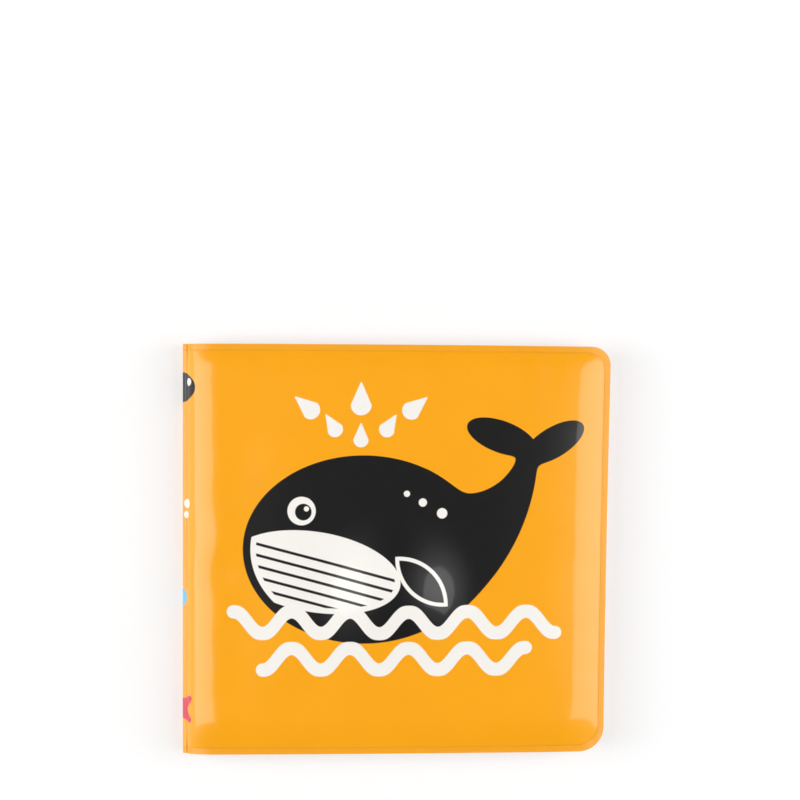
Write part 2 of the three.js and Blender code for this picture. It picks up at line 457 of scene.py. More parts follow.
whale = {
    "body": (-9, 0, 35, 27),
    "tailBack": (-19.4, 28.9, 60.5),
    "tailFront": (20, 32, 16),
    "tailStart": 12,
    "tailTop": 30,
    "tailBlend": 4,
    "flukes": [(30.5, 32.5, 10.5, 4.6, -20), (45.5, 31, 10, 4.4, 32)],
    "flukeBlend": 3,
    "throat": (-23, -6.5, 25, 11.5, -9),
    "throatInset": 2.2,
    "grooveSlope": 0.26,
    "grooveShift": 12,
    "grooveHalfPitch": 1.6,
    "grooveHalfWidth": 0.42,
    "grooveInset": 1.6,
    "grooveTop": 7,
    "finArcs": [(1.5, -16, 14), (14.2, -2.4, 14)],
    "finLine": 1.1,
    "spout": [
        (-10, 31.5, 2.2, 90), (-17.5, 34.5, 2.3, 122), (-2.5, 34.5, 2.3, 58),
        (-24.5, 40, 2.7, 140), (4.5, 40, 2.7, 40), (-10, 41.5, 3, 90),
    ],
}


def whalePrint(x, y):
    tail = disc(x, y, *whale["tailBack"]).most(-disc(x, y, *whale["tailFront"]))
    tail = tail.most(whale["tailStart"] - x).most(y - whale["tailTop"])
    body = oval(x, y, *whale["body"]).joined(tail, whale["tailBlend"])
    body = body.joined(allOf(oval, x, y, whale["flukes"]), whale["flukeBlend"])
    throat = oval(x, y, *whale["throat"]).most(body + whale["throatInset"])
    slant = y + x * whale["grooveSlope"]
    halfPitch = whale["grooveHalfPitch"]
    grooves = (slant + whale["grooveShift"]).wrapped(-halfPitch, halfPitch).size() - whale["grooveHalfWidth"]
    grooves = grooves.most(throat + whale["grooveInset"]).most(slant + whale["grooveTop"])
    # the fin lies between two arcs
    lower, upper = (disc(x, y, *arc) for arc in whale["finArcs"])
    colour = layered(
        inks["orange"], x, y,
        ("black", body),
        ("white", throat),
        ("black", grooves),
        ("white", disc, (-27, 11, 4.1)),
        ("black", disc, (-26.5, 10.7, 2.4)),
        ("white", disc, (-25.6, 11.6, 0.75)),
        ("white", ring(lower.most(upper), whale["finLine"])),
        ("white", disc, (8, 13.5, 1.2), (13.6, 10.4, 1.5), (3.4, 16, 0.9)),
        ("white", drop, *whale["spout"]),
        ("white", wave, (-21, 5, 17, 3.1, 1.9)),
        ("white", wave, (-31.5, 4, 17, 3.1, 1.9)),
    )
    return spinePrint(colour, x, y)


shoal = {
    "fish": [(-30, 30, 10, 1), (26, 2, 9, -1), (-24, -30, 9.5, -1)],
    "stars": [(6, 36, 6.6), (-4, -6, 5.4), (32, -34, 6.8)],
    "starScale": 1.1,
    "starTurn": 100,
    "turnPerSize": 9,
    "starEye": 0.2,
    "dots": [
        (-44, 6, 3.2), (-50, 0, 1.9), (40, 40, 3), (46, 33, 1.8),
        (6, -42, 3.2), (47, -10, 2.6), (-46, -46, 2.4), (8, 16, 2.2),
    ],
    "pebbles": [(-48, 46, 4.2, 3), (46, 18, 3, 4.4), (-8, -46, 4, 2.8)],
}


def shoalPrint(x, y):
    colour = inks["orange"]
    for row in shoal["fish"]:
        colour = layered(colour, x, y, ("black", fish, row), ("white", fishMarks, row))
    for cx, cy, size in shoal["stars"]:
        arms = (cx, cy, size * shoal["starScale"], shoal["starTurn"] + size * shoal["turnPerSize"])
        eye = (cx, cy, size * shoal["starEye"])
        colour = layered(colour, x, y, ("red", star, arms), ("white", disc, eye))
    colour = layered(colour, x, y, ("white", disc, *shoal["dots"]), ("blue", oval, *shoal["pebbles"]))
    return spinePrint(colour, x + 2 * spineMiddle(), y)


pageField = (0.3, 0, 57.5, 56, 5)


def pageGround(x, y, name):
    # a page's ground, with the cover's orange round it
    return mixColours(inked(slab(x, y, *pageField)), inks["orange"], inks[name])


turtle = {
    "limbs": [
        (-17, 18, 11, 5.4, 128), (19, 18, 11, 5.4, 52),
        (-17, -20, 9.5, 5, 232), (19, -20, 9.5, 5, 308),
    ],
    "head": (1, 31, 7.6, 9),
    "shell": (1, 0, 22, 25),
    "shellLine": 2.6,
    "middleCell": (1, 0, 6.4),
    "cells": 6,
    "cellRing": (13.4, 14.6),
    "cellRadius": 4.2,
}


def turtlePrint(x, y):
    shell = oval(x, y, *turtle["shell"])
    cells = [turtle["middleCell"]]
    middle, (wide, tall) = cells[0][0], turtle["cellRing"]
    for step in range(turtle["cells"]):
        turn = math.radians(360 / turtle["cells"] * (step + 0.5))
        cells.append((middle + wide * math.cos(turn), tall * math.sin(turn), turtle["cellRadius"]))
    return layered(
        pageGround(x, y, "white"), x, y,
        ("black", oval, *turtle["limbs"], turtle["head"]),
        ("green", shell),
        ("black", ring(shell, turtle["shellLine"])),
        ("black", disc, *cells),
        ("white", disc, (-2.4, 33.4, 1.2), (4.4, 33.4, 1.2)),
    )


boat = {
    "hull": (0, -10, 33, 17),
    "deck": 10,
    "stripe": 15,
    "stripeHalf": 1.2,
    "stripeInset": 1,
    "main": (3.4, 4.5, 31, 0.78, 0.62),
    "jib": (-3.2, 4.5, 22, -0.8, 0.6),
    "sun": (-33, 35, 7),
    "rays": (-33, 35, 11.5, 12, 0.12),
}


def sail(x, y, luff, foot, peak, across, up):
    # a triangle between the mast, the foot and a slope from the peak
    past = x - luff
    near = -past if across > 0 else past
    return near.most(-(y + foot)).most(past * across + (y - peak) * up)


def boatPrint(x, y):
    hull = oval(x, y, *boat["hull"]).most(y + boat["deck"])
    stripe = (y + boat["stripe"]).size() - boat["stripeHalf"]
    sun = disc(x, y, *boat["sun"]).least(scalloped(x, y, *boat["rays"]))
    return layered(
        pageGround(x, y, "blue"), x, y,
        ("black", hull),
        ("white", stripe.most(hull + boat["stripeInset"])),
        ("black", slab, (0, 12, 1.1, 21, 1)),
        ("white", sail, boat["main"]),
        ("red", sail, boat["jib"]),
        ("white", wave, (-31, 5, 15, 2.2, 1.3), (-40, 3, 15, 2.2, 1.3, math.pi)),
        ("orange", sun),
    )


starfish = {
    "body": (0, -1, 41, 96),
    "lineInset": 2.4,
    "lineWidth": 1.1,
    "eyes": [(-5.6, 4, 2.2), (5.6, 4, 2.2)],
    "smile": (0, 0, 6.4),
    "smileLine": 1.3,
    "smileTop": 2.4,
    "bubbles": [(40, 36, 5), (33, 45, 2.6), (-42, -36, 4.4)],
    "bubbleLine": 1.5,
}


def starPrint(x, y):
    body = star(x, y, *starfish["body"])
    smile = ring(disc(x, y, *starfish["smile"]), starfish["smileLine"]).most(y + starfish["smileTop"])
    return layered(
        pageGround(x, y, "pink"), x, y,
        ("white", body),
        ("black", ring(body + starfish["lineInset"], starfish["lineWidth"])),
        ("black", allOf(disc, x, y, starfish["eyes"]).least(smile)),
        ("black", ring(allOf(disc, x, y, starfish["bubbles"]), starfish["bubbleLine"])),
    )


ball = {
    "body": (0, 2, 34),
    "line": 1.4,
    "pole": (3, 7),
    "panelPairs": 3,
    "panelScale": 12,
    "capRim": 6.4,
    "capRadius": 4.8,
}


def ballPrint(x, y):
    body = disc(x, y, *ball["body"])
    inside, (cx, cy) = body + ball["line"], ball["pole"]
    panels = ((y - cy).angleWith(x - cx) * ball["panelPairs"]).sine() * ball["panelScale"]
    return layered(
        pageGround(x, y, "white"), x, y,
        ("black", body),
        ("orange", inside.most(panels)),
        ("white", inside.most(-panels)),
        ("black", disc, (cx, cy, ball["capRim"])),
        ("red", disc, (cx, cy, ball["capRadius"])),
        ("blue", oval, (0, -42, 24, 3)),
    )


def fishPrint(x, y):
    large, small = (6, 10, 27, 1), (-16, -31, 11, -1)
    return layered(
        pageGround(x, y, "blue"), x, y,
        ("black", fish, large),
        ("white", fishMarks, large),
        ("white", fish, small),
        ("black", fishMarks, small),
        ("white", disc, (44, 22, 3.4), (46, 33, 2.4), (42, 41, 1.7)),
    )


duck = {
    "belly": (4, -12, 30, 17),
    "tail": ((26, -6), (37, 5), 10, 2),
    "head": (-16, 16, 14),
    "neck": ((-14, 8), (-10, -8), 10, 14),
    "wing": (9, -10, 14, 8, 14),
    "wingLine": 1.8,
}


def duckPrint(x, y):
    body = oval(x, y, *duck["belly"]).least(stroke(x, y, *duck["tail"]))
    head = disc(x, y, *duck["head"]).least(stroke(x, y, *duck["neck"]))
    return layered(
        pageGround(x, y, "white"), x, y,
        ("black", body.least(head)),
        ("red", oval, (-34, 12.5, 8.4, 3.8, -6)),
        ("white", ring(oval(x, y, *duck["wing"]), duck["wingLine"])),
        ("white", disc, (-19.5, 19, 2.8)),
        ("deepBlue", wave, (-33, 5, 16, 2.4, 1.4)),
    )


# Finishes

film = {
    "roughness": 0.26,
    "scuffRoughness": 0.06,
    "weldRoughness": 0.1,
    "coat": 0.45,
    "weldCoatLoss": 0.2,
    "coatRoughness": 0.05,
    "cloudScale": 0.06,
    "grainScale": 2.4,
    "scuffScale": 0.35,
    "tone": 0.95,
    "cloudTone": 0.07,
    "grainTone": 0.02,
    # the weld's own deeper tone, which also darkens the groove line as painted shade
    "weldTintAndGrooveShadeTone": 0.88,
    "weldTintAndGrooveShadeShare": 0.5,
    "peelSize": 1.1,
    "peelDepth": 0.006,
    "weldEdge": 1.9,
    "weldBlur": 0.5,
    "weldPitch": 0.9,
    "weldDepth": 0.007,
    "grooveHalf": 0.35,
    "grooveDepth": 0.07,
    "meltReach": 1.7,
    "smoothDegrees": 50,
}


def inkShade(tree, colour, tone):
    grey = addNode(tree, "ShaderNodeCombineColor", None, {0: tone, 1: tone, 2: tone})
    return mixColours(1, colour, grey, "MULTIPLY")


def filmMaterial(name, draw):
    material, tree = newMaterial(name)
    flat = addNode(tree, "ShaderNodeUVMap", {"uv_map": "flat"})
    x, y, _ = splitVector(tree, flat)
    inset, around, _ = splitVector(tree, addNode(tree, "ShaderNodeUVMap", {"uv_map": "rim"}))
    colour = draw(x, y)
    # the ink lies a little unevenly, and the pressed weld is a shade deeper; the fine groove at the weld's
    # inner border is darkened as painted shade of its step
    cloud, grain = noise(tree, flat, film["cloudScale"], 3), noise(tree, flat, film["grainScale"])
    tone = film["tone"] + cloud * film["cloudTone"] + grain * film["grainTone"]
    weld = (0.5 - (inset - film["weldEdge"]) / film["weldBlur"]).within()
    groove = (1 - (inset - book["weldWidth"]).size() / film["grooveHalf"]).within()
    weldTintAndGrooveShade = weld * film["weldTintAndGrooveShadeShare"] + groove * film["weldTintAndGrooveShadeShare"]
    # painted shade: the groove line darkens as if its step held a shadow, besides the weld's own deeper
    # colour
    colour = mixColours(weldTintAndGrooveShade, colour, inkShade(tree, colour, film["weldTintAndGrooveShadeTone"]))
    peel, scuff = noise(tree, flat, 1 / film["peelSize"]), noise(tree, flat, film["scuffScale"], 4)
    teeth = ((around * (2 * math.pi / film["weldPitch"])).sine() * 0.5 + 0.5) * weld
    height = peel * film["peelDepth"] + teeth * film["weldDepth"] - groove * film["grooveDepth"]
    principled(tree, {
        "Base Color": inkShade(tree, colour, tone),
        "Roughness": film["roughness"] + scuff * film["scuffRoughness"] + weld * film["weldRoughness"],
        "Coat Weight": film["coat"] - weld * film["weldCoatLoss"],
        "Coat Roughness": film["coatRoughness"],
        "Normal": bump(tree, height, 1, 1),
    })
    return material


# Finishes without a print: scale and detail of the clouds, strength and depth of the bump
plastic = {"cloud": (160, 4), "grain": 2600, "bump": (0.35, 0.03), "grainSpread": 0.12}
looks = {
    "spineWeld": {
        "colours": [(250, 158, 20), (255, 186, 62)], "cloud": (220, 3), "grain": 1500,
        "bump": (0.4, 0.03), "roughness": 0.3, "spread": 0.15,
    },
    "unprintedFilm": {
        "colours": [(232, 228, 218), (246, 242, 232)], "cloud": (300, 3),
        "bump": (0.3, 0.02), "roughness": 0.3, "spread": 0.1,
    },
    "foam": {
        "colours": [(214, 208, 190), (246, 243, 232)], "cloud": (90, 4), "cells": 2200, "cellShare": 0.7,
        "bump": (0.8, 0.25), "roughness": 0.85, "spread": 0.1,
    },
    "squeakerPlastic": {**plastic, "colours": [(226, 226, 222), (244, 244, 240)], "roughness": 0.35},
    "reedPlastic": {**plastic, "colours": [(206, 206, 202), (228, 228, 224)], "roughness": 0.3},
    "reedStrip": {**plastic, "colours": [(206, 198, 178), (224, 217, 200)], "roughness": 0.25},
}


def plainMaterial(name):
    look = looks[name]
    material, tree = newMaterial(name)
    place = addNode(tree, "ShaderNodeTexCoord", output=3)
    cloud = fine = shade = noise(tree, place, *look["cloud"])
    if "grain" in look:
        fine = noise(tree, place, look["grain"])
    if "cells" in look:
        fine = addNode(tree, "ShaderNodeTexVoronoi", None, {"Vector": place, "Scale": look["cells"]})
        shade = fine * look["cellShare"] + cloud * (1 - look["cellShare"])
    uneven = cloud * look["spread"] if "spread" in look else fine * look["grainSpread"]
    principled(tree, {
        "Base Color": mixColours(shade, *[linear(*colour) for colour in look["colours"]]),
        "Roughness": look["roughness"] + uneven,
        "Normal": bump(tree, fine, *look["bump"]),
    })
    return material


finishes = {name: plainMaterial(name) for name in looks}
print("finishes made")


# The form of a leaf

def clamp(values, low, high):
    return np.minimum(np.maximum(values, low), high)


def ramp(values, start, run):
    # climbs smoothly from 0 to 1 over the run that begins at start
    share = clamp((values - start) / run, 0, 1)
    return share * share * (3 - 2 * share)


def leafLevel(index):
    return (index - front / 2) * book["pitch"]


def rootCurve(index):
    # centre line of a leaf from the weld bead to its level in the stack, as four control points
    radius, thickness = book["rootRadius"], book["rootThickness"]
    angle = (index * (thickness + book["rootGap"]) + thickness / 2) / radius
    angle -= math.pi / 2
    start = radius * np.array([math.cos(angle), math.sin(angle)])
    end = np.array([book["gutter"], leafLevel(index)])
    rise = abs(end[1] - start[1]) * book["rise"]
    run = (end[0] - start[0]) * book["run"]
    return [start, start * (1 + rise / radius), end - [run, 0], end]


def bezier(points, share):
    s = np.asarray(share)[..., None]
    a, b, c, d = points
    place = a * (1 - s) ** 3 + 3 * b * s * (1 - s) ** 2 + 3 * c * s ** 2 * (1 - s) + d * s ** 3
    heading = 3 * ((b - a) * (1 - s) ** 2 + 2 * (c - b) * s * (1 - s) + (d - c) * s ** 2)
    return place, heading / np.linalg.norm(heading, axis=-1, keepdims=True)


def rootShare(across):
    return clamp((across - book["rootRadius"]) / (book["gutter"] - book["rootRadius"]), 0, 1)


def halfThickness(across, inset):
    full = book["rootThickness"] / 2
    full = full + (book["leafThickness"] / 2 - full) * ramp(rootShare(across), 0, 1)
    climb = clamp((inset - book["weldWidth"]) / book["shoulderWidth"], 0, 1)
    return book["weldHalf"] + (full - book["weldHalf"]) * (1 - (1 - climb) ** 2)


def fromSqueaker(across, along):
    return np.hypot(across - book["squeaker"][0], along - book["squeaker"][1])


def domeRise(across, along):
    reach = fromSqueaker(across, along) / book["domeRadius"]
    return book["domeHeight"] * (0.5 + 0.5 * np.cos(np.pi * np.minimum(reach, 1)))


def roundedCorners(index, across, along):
    # turns the square corner of a grid into the leaf's rounded one, ring by ring
    toEdge, toSide = edges[index] - across, halfSide - np.abs(along)
    cornerRadius = np.where(along > 0, book["upperCorner"], book["lowerCorner"])
    inset = np.minimum(toEdge, toSide)
    past = np.maximum(toEdge, toSide) - inset
    depth = clamp(inset / fieldInset, 0, 1)
    radius = cornerRadius + (book["fieldCorner"] - cornerRadius) * depth
    turn = math.pi / 4 * (1 - clamp(past / radius, 0, 1))
    near = inset + radius * (1 - np.cos(turn))
    far = np.where(past < radius, inset + radius * (1 - np.sin(turn)), inset + past)
    edgeNearer = toEdge <= toSide
    toEdge, toSide = np.where(edgeNearer, near, far), np.where(edgeNearer, far, near)
    return edges[index] - toEdge, np.sign(along) * (halfSide - toSide), toEdge, toSide, inset


# The padding is soft: it crowns between the welds, and puckers where they gather it
padding = {
    "coverCrown": 0.5,
    "pageCrown": 0.1,
    "crownRun": 25,
    "crownReach": 32,
    "puckerHeight": 0.13,
    "puckerRun": 2.6,
    "puckerFlat": 3,
    "puckerReach": 8,
    "puckerLengths": (9.3, 14.1, 23),
    "gatherShare": 0.4,
    "gatherLengths": (41, 67),
    "pagePuckers": 0.4,
    "sideShift": 400,
    "waveHeight": 0.08,
    "waveSlants": (0.6, 0.4),
    "waveLengths": [(47, 31), (52, 28)],
    "waveRun": 8,
    "pageWaves": 0.3,
    "reliefStart": 4,
    "reliefRun": 12,
    "rootRipple": 0.3,
    "rootRun": 5,
    "rootMiddle": 10.5,
    "rootSpread": 3.4,
    "rootSide": 3,
    "rootSideRun": 10,
    "rootSwell": 0.6,
    "rootLengths": (17, 29, 58),
    "evenShare": 0.9,
    "evenReach": 27,
    "evenRun": 9,
    "taper": 1,
    "lean": 2.3,
    "droops": [0, 0.45, 0.9, 1.4],
    "droopReach": 20,
}


def seated(across, along, inset, edge):
    # the padding draws the sides in, pulls the free side a little shorter than the spine, and lets it lean
    pull = 1 - clamp(inset / fieldInset, 0, 1)
    run = clamp((across - book["gutter"]) / (edge - book["lowerCorner"] - book["gutter"]), 0, 1)
    reach = clamp(along / (halfSide - book["lowerCorner"]), -1, 1)
    across = across - book["sideDrawIn"] * pull * run * (1 - reach * reach)
    along = along - book["endDrawIn"] * pull * reach * 4 * run * (1 - run)
    run = clamp((across - book["gutter"]) / (edge - book["gutter"]), 0, 1)
    across = across - padding["lean"] * run * (0.5 - along / book["height"])
    return across, along * (1 - padding["taper"] / halfSide * run * run)


def rimDroop(index, toEdge):
    # the free edge of a leaf hangs a little, more so higher in the stack
    return padding["droops"][index] * clamp(1 - toEdge / padding["droopReach"], 0, 1) ** 2


def ripple(values, seed, lengths):
    # a smooth uneven wave of height about 1 along a line
    chance = np.random.default_rng(seed)
    total = np.zeros_like(values, dtype=float)
    for length in lengths:
        pace = 2 * math.pi / (length * chance.uniform(0.85, 1.2))
        total += np.sin(values * pace + chance.uniform(0, 6.3))
    return total / math.sqrt(len(lengths))


def relief(index, side, across, along, toEdge, toSide, inset, covered):
    # what the film stands proud of its plain form
    seed = 100 + index * 10 + (side > 0) * 5
    reach = padding["crownReach"]
    height = padding["pageCrown"] if covered else padding["coverCrown"]
    height = height * ramp(across, book["gutter"], padding["crownRun"])
    height = height * ramp(toEdge, 0, reach) * ramp(toSide, 0, reach)
    most = padding["puckerHeight"] * (padding["pagePuckers"] if covered else 1)
    ends = across + np.sign(along) * padding["sideShift"]
    for number, (distance, line) in enumerate(((toEdge, along), (toSide, ends))):
        fade = np.exp(-np.maximum(distance - padding["puckerFlat"], 0) / padding["puckerReach"])
        gather = ripple(line, seed + number + 2, padding["gatherLengths"])
        gather = 1 - padding["gatherShare"] + padding["gatherShare"] * gather
        folds = ripple(line, seed + number, padding["puckerLengths"]) * gather
        height = height + most * ramp(distance, book["weldWidth"], padding["puckerRun"]) * fade * folds
    most = padding["waveHeight"] * (padding["pageWaves"] if covered else 1)
    (slant, lean), (lengths, crossLengths) = padding["waveSlants"], padding["waveLengths"]
    waves = ripple(across + along * slant, seed + 7, lengths)
    waves = waves * ripple(along - across * lean, seed + 8, crossLengths)
    height = height + most * waves * ramp(inset, book["weldWidth"], padding["waveRun"])
    height = height * ramp(across, padding["reliefStart"], padding["reliefRun"])
    if not covered:
        swell = ramp(across, book["rootRadius"], padding["rootRun"])
        swell = swell * np.exp(-((across - padding["rootMiddle"]) / padding["rootSpread"]) ** 2)
        swell = swell * ramp(toSide, padding["rootSide"], padding["rootSideRun"])
        swell = swell * (padding["rootSwell"] + ripple(along, seed + 9, padding["rootLengths"]))
        height = height + padding["rootRipple"] * swell
    if index == front and side > 0:
        # the film lies even round the squeaker
        even = padding["coverCrown"] * padding["evenShare"]
        away = ramp(fromSqueaker(across, along), padding["evenReach"], padding["evenRun"])
        height = even + (height - even) * away
    return height


def filmPlaces(index, side, across, toEdge, inset, lift):
    offset = side * (halfThickness(across, inset) + lift)
    inRoot = across < book["gutter"]
    place, heading = bezier(rootCurve(index), rootShare(across))
    level = leafLevel(index) - rimDroop(index, toEdge)
    x = np.where(inRoot, place[:, 0] - heading[:, 1] * offset, across)
    z = np.where(inRoot, place[:, 1] + heading[:, 0] * offset, level + offset)
    return x, z


def rootArcs(index, side, stations):
    # how far each station lies from the hinge line along the film's face, so that a print keeps its scale
    half = halfThickness(stations, np.full_like(stations, fieldInset)) * side
    place, heading = bezier(rootCurve(index), rootShare(stations))
    x = place[:, 0] - heading[:, 1] * half
    z = place[:, 1] + heading[:, 0] * half
    arcs = np.concatenate([[0], np.cumsum(np.hypot(np.diff(x), np.diff(z)))])
    return arcs - arcs[-1] + book["gutter"]


# The grid of a film: its columns are close together in the root, round the spine and at the rim
weave = {
    "root": np.linspace(book["rootRadius"], book["gutter"], 23),
    "fine": 0.45,
    "border": 10,
    "pageCoarse": 1.4,
    "frontCoarse": 1,
    "spine": np.radians(np.concatenate([[269.8], np.linspace(266, 92, 21)])),
    "spineEndGap": 0.352,
}
spineRadius = book["beadRadius"] + book["wrapGap"]


def spineMiddle():
    # where the middle line of the spine lies on the front cover's print
    return rootArcs(front, 1, weave["root"])[0] - spineRadius * math.pi / 2 + book["hingeX"]


def spread(low, high, fine, coarse, border):
    # places from low to high, closer together within the border at either end
    first = np.linspace(low, low + border, int(round(border / fine)) + 1)
    last = np.linspace(high - border, high, int(round(border / fine)) + 1)
    middle = np.linspace(first[-1], last[0], max(2, int(round((last[0] - first[-1]) / coarse)) + 1))
    return np.concatenate([first, middle[1:-1], last])


def gridPiece(name, columns, rows):
    deselectAll()
    bpy.ops.mesh.primitive_grid_add(x_subdivisions=columns - 1, y_subdivisions=rows - 1, size=2)
    piece = bpy.context.object
    piece.name = piece.data.name = name
    points = readPoints(piece)
    column = np.round((points[:, 0] + 1) / 2 * (columns - 1)).astype(int)
    row = np.round((points[:, 1] + 1) / 2 * (rows - 1)).astype(int)
    return piece, column, row


def placeGrid(piece, x, y, z):
    # from the hinge line's millimetres to the scene's metres
    writePoints(piece, np.column_stack([x + book["hingeX"], y, z + book["hingeZ"]]) * mm)


def setUV(piece, name, pairs):
    layer = piece.data.uv_layers.get(name) or piece.data.uv_layers.new(name=name)
    corners = np.zeros(len(piece.data.loops), dtype=int)
    piece.data.loops.foreach_get("vertex_index", corners)
    layer.data.foreach_set("uv", pairs[corners].astype(np.float32).ravel())


def filmSheet(name, index, side):
    edge, root = edges[index], weave["root"]
    under = index == 0 and side < 0
    over = index == front and side > 0
    coarse = weave["frontCoarse"] if over else weave["pageCoarse"]
    rim = np.linspace(edge - weave["border"], edge, int(weave["border"] / weave["fine"]) + 1)
    field = np.linspace(root[-1], rim[0], int((rim[0] - root[-1]) / coarse) + 1)
    stations = np.concatenate([root, field[1:-1], rim])
    rows = spread(-halfSide, halfSide, weave["fine"], coarse, weave["border"])
    # the back cover's film runs on round the spine
    spine = weave["spine"] if under else np.zeros(0)
    piece, column, row = gridPiece(name, len(spine) + len(stations), len(rows))
    station = np.maximum(column - len(spine), 0)
    across, along, toEdge, toSide, inset = roundedCorners(index, stations[station], rows[row])
    arcs = np.concatenate([rootArcs(index, side, root), stations[len(root):]])
    printAcross = np.where(across > book["gutter"], across, arcs[station])
    perimeter = np.where(toEdge < toSide, along, across)
    # the book lies on the back cover's outer film, which stays plain
    covered = not (over or under)
    lift = 0 if under else relief(index, side, across, along, toEdge, toSide, inset, covered)
    if over:
        lift = lift + domeRise(across, along)
    seatAcross, seatAlong = seated(across, along, inset, edge)
    x, z = filmPlaces(index, side, seatAcross, toEdge, inset, lift)
    if under:
        onSpine = column < len(spine)
        turn = spine[np.minimum(column, len(spine) - 1)]
        radius = np.where(column == 0, weave["spineEndGap"], book["wrapGap"]) + book["beadRadius"]
        x = np.where(onSpine, radius * np.cos(turn), x)
        z = np.where(onSpine, side * radius * np.sin(turn), z)
        onPrint = arcs[0] - spineRadius * (turn - math.pi / 2)
        printAcross = np.where(onSpine, onPrint, printAcross)
    placeGrid(piece, x, seatAlong, z)
    # a print on an under side is read with the leaf turned over
    setUV(piece, "flat", np.column_stack([side * (printAcross + book["hingeX"]), along]))
    setUV(piece, "rim", np.column_stack([inset, perimeter]))
    for extra in [layer for layer in piece.data.uv_layers if layer.name not in ("flat", "rim")]:
        piece.data.uv_layers.remove(extra)
    return piece


def finishFilm(piece, material, side):
    dress(piece, material, finishes["unprintedFilm"])
    if side < 0:
        makeActive(piece)
        setMode("EDIT")
        bpy.ops.mesh.select_all(action="SELECT")
        bpy.ops.mesh.flip_normals()
        setMode("OBJECT")
    thickness = book["filmThickness"] * mm
    applyModifier(piece, "SOLIDIFY", thickness=thickness, offset=-1, material_offset=1, material_offset_rim=1)
    # beside the bead the film runs on, so it shows no cut edge there
    x, z = book["hingeX"] * mm, book["hingeZ"] * mm
    for face in piece.data.polygons:
        if math.hypot(face.center.x - x, face.center.z - z) < film["meltReach"] * mm:
            face.material_index = 0
    smoothShade(piece, film["smoothDegrees"])


# The part of the front cover's film that the squeaker pushes out, in millimetres
patch = {"radius": 26, "rimWidth": 1.2}


def splitPatch(piece):
    # the patch is its own piece, because it sinks when it is pressed
    selectRound(piece, patch["radius"])
    bpy.ops.mesh.separate(type="SELECTED")
    setMode("OBJECT")
    part = next(item for item in bpy.context.selected_objects if item != piece)
    part.name = part.data.name = "squeakerCoverFilm"
    return part


def squashPatch(part):
    # finds the height of its rim, and gives the piece a mesh of its own
    x, y = squeakerPlace()
    inner = (patch["radius"] - patch["rimWidth"]) * mm
    points = [vertex.co for vertex in part.data.vertices]
    seat = max(co.z for co in points if math.hypot(co.x - x, co.y - y) > inner)
    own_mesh(part)


def camel(node):
    first, *others = node.split("_")
    return first + "".join(word.capitalize() for word in others)


# Each film's node, leaf, side, print and slot
films = [
    ("back_cover_outer_film", 0, -1, shoalPrint, "cover_film"),
    ("back_cover_inner_film", 0, 1, duckPrint, "white_page_film"),
    ("third_leaf_lower_film", 1, -1, fishPrint, "blue_page_film"),
    ("third_leaf_upper_film", 1, 1, ballPrint, "white_page_film"),
    ("second_leaf_lower_film", 2, -1, starPrint, "pink_page_film"),
    ("second_leaf_upper_film", 2, 1, boatPrint, "blue_page_film"),
    ("front_cover_inner_film", 3, -1, turtlePrint, "white_page_film"),
    ("front_cover_outer_film", 3, 1, whalePrint, "cover_film"),
]
# How large the films lie when they are flat, in metres
flatSizes = {"height": 0.118, "page": 0.122, "back": 0.1265, "front": 0.123, "patch": 0.052}
foamNames = [camel(body + "_foam_pad") for body in bodies]

for node, leaf, side, draw, slot in films:
    piece = filmSheet(camel(node), leaf, side)
    pieces = [piece]
    if draw is whalePrint:
        cover = splitPatch(piece)
        pieces.append(cover)
    material = filmMaterial(camel(node) + "Print", draw)
    for item in pieces:
        finishFilm(item, material, side)
        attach(item, bodies[leaf])
    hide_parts(node)
    foam, high = [foamNames[leaf]], flatSizes["height"]
    if draw is whalePrint:
        squashPatch(cover)
        hole = math.pi * (patch["radius"] * mm) ** 2
        wide = flatSizes["front"]
        wide * high - hole
    else:
        wide = flatSizes["back" if draw is shoalPrint else "page"]
print("films made")


# Foam

foamSizes = {
    "inset": 3.9,
    "start": 11.5,
    "clearance": 0.2,
    "fine": 0.8,
    "coarse": 2,
    "border": 4,
    "pocketRadius": 12.5,
    "pocketBand": 1.3,
    "pocketClear": 1.02,
    "liftShare": 0.4,
    "smoothDegrees": 40,
}


def cutPocket(piece):
    # makes room for the squeaker, and draws the cut round
    selectRound(piece, foamSizes["pocketRadius"])
    bpy.ops.mesh.delete(type="FACE")
    setMode("OBJECT")
    points, centre = readPoints(piece), squeakerPlace()
    away = points[:, :2] - centre
    reach = np.hypot(away[:, 0], away[:, 1])[:, None]
    near = reach[:, 0] < (foamSizes["pocketRadius"] + foamSizes["pocketBand"]) * mm
    heading = away[near] / reach[near]
    points[near, :2] = centre + heading * foamSizes["pocketRadius"] * mm * foamSizes["pocketClear"]
    writePoints(piece, points)


def foamPad(name, index):
    edge, side = edges[index] - foamSizes["inset"], halfSide - foamSizes["inset"]
    grain = [foamSizes[key] for key in ("fine", "coarse", "border")]
    stations, rows = spread(foamSizes["start"], edge, *grain), spread(-side, side, *grain)
    piece, column, row = gridPiece(name, len(stations), len(rows))
    across, along, toEdge, _, inset = roundedCorners(index, stations[column], rows[row])
    lift = domeRise(across, along) * foamSizes["liftShare"] if index == front else 0
    thickness = 2 * (halfThickness(across, inset) - book["filmThickness"] - foamSizes["clearance"]) + lift
    level = leafLevel(index) + lift / 2 - rimDroop(index, toEdge)
    placeGrid(piece, *seated(across, along, inset, edges[index]), level)
    group = piece.vertex_groups.new(name="thickness")
    largest = thickness.max()
    for number, share in enumerate(thickness / largest):
        group.add([number], float(share), "REPLACE")
    if index == front:
        cutPocket(piece)
    applyModifier(piece, "SOLIDIFY", thickness=largest * mm, offset=0, vertex_group="thickness")
    smoothShade(piece, foamSizes["smoothDegrees"])
    dress(piece, finishes["foam"])
    return piece


